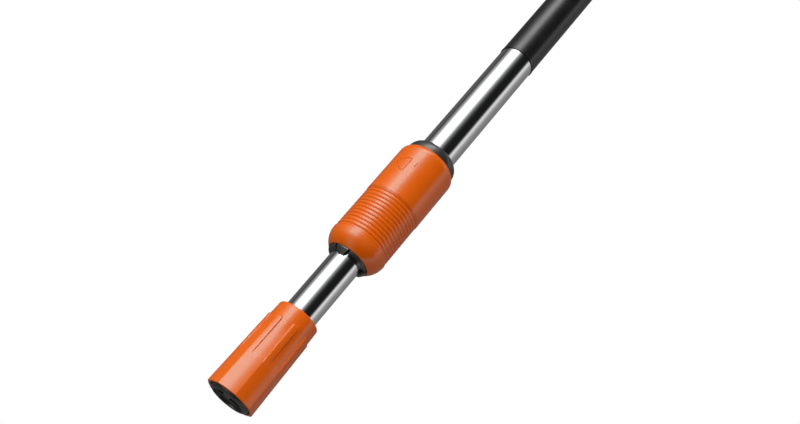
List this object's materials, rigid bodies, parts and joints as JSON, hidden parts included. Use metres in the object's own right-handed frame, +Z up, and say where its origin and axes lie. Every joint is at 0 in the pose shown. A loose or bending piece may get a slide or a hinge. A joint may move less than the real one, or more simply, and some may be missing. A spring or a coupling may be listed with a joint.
{
  "type": "telescopic cleaning pole",
  "caption": "Hand-held telescopic pole for window cleaning: two sliding tubes with a twist lock, a turn-to-lock tool socket at one end and a long grip with a hanging eye at the other.",
  "frame": {"origin": "centre of the tool socket's mouth, on the pole's axis", "axes": "+X along the pole from the tool end to the operator's end; +Z up, square to the faces of the hanging eye's tongue; +Y completes a right-handed frame"},
  "size_m": [0.761, 0.047, 0.047],
  "materials": {
    "orange_plastic": "satin moulded",
    "dark_plastic": "satin moulded",
    "polished_tube": "polished",
    "grip_rubber": "satin",
    "soft_rubber": "matt",
    "slide_plastic": "smooth low-friction",
    "bare_steel": "bright zinc",
    "rivet_metal": "satin"
  },
  "bodies": {
    "outer_pole": {"outer_tube": "polished_tube", "clamp_barrel": "dark_plastic", "barrel_rivets": "rivet_metal", "collet": "dark_plastic", "rear_collar": "dark_plastic", "stop_ring": "bare_steel", "thrust_washer": "slide_plastic", "grip_sleeve": "grip_rubber", "end_cap": "dark_plastic", "cap_rivet": "rivet_metal"},
    "inner_pole": {"inner_tube": "polished_tube", "socket_core": "dark_plastic", "socket_insert": "dark_plastic", "insert_pins": "bare_steel", "core_pin": "bare_steel", "ferrule_clip": "bare_steel", "ferrule_bush": "dark_plastic", "friction_ring": "soft_rubber", "guide_bush": "slide_plastic", "bush_rivets": "rivet_metal", "tail_plug": "soft_rubber"},
    "lock_ferrule": {"ferrule": "orange_plastic", "lock_plate": "bare_steel", "plate_keys": "bare_steel"},
    "twist_sleeve": {"twist_sleeve": "orange_plastic"},
    "taper_nut": {"taper_nut": "slide_plastic"}
  },
  "joints": [
    {"name": "telescope", "type": "slide", "parent": "outer_pole", "child": "inner_pole", "axis": [-1, 0, 0], "range_m": [-0.05, 0.42]},
    {"name": "ferrule_turn", "type": "hinge", "parent": "inner_pole", "child": "lock_ferrule", "pos_m": [0.04, 0, 0], "axis": [1, 0, 0], "range_deg": [0, 40]},
    {"name": "sleeve_twist", "type": "hinge", "parent": "outer_pole", "child": "twist_sleeve", "pos_m": [0.18, 0, 0], "axis": [1, 0, 0], "range_deg": [0, 180]},
    {"name": "nut_travel", "type": "slide", "parent": "outer_pole", "child": "taper_nut", "axis": [1, 0, 0], "range_m": [0, 0.0031]}
  ],
  "couplings": [
    {"joint": "nut_travel", "follows": "sleeve_twist", "m_per_rad": 0.00095493}
  ]
}
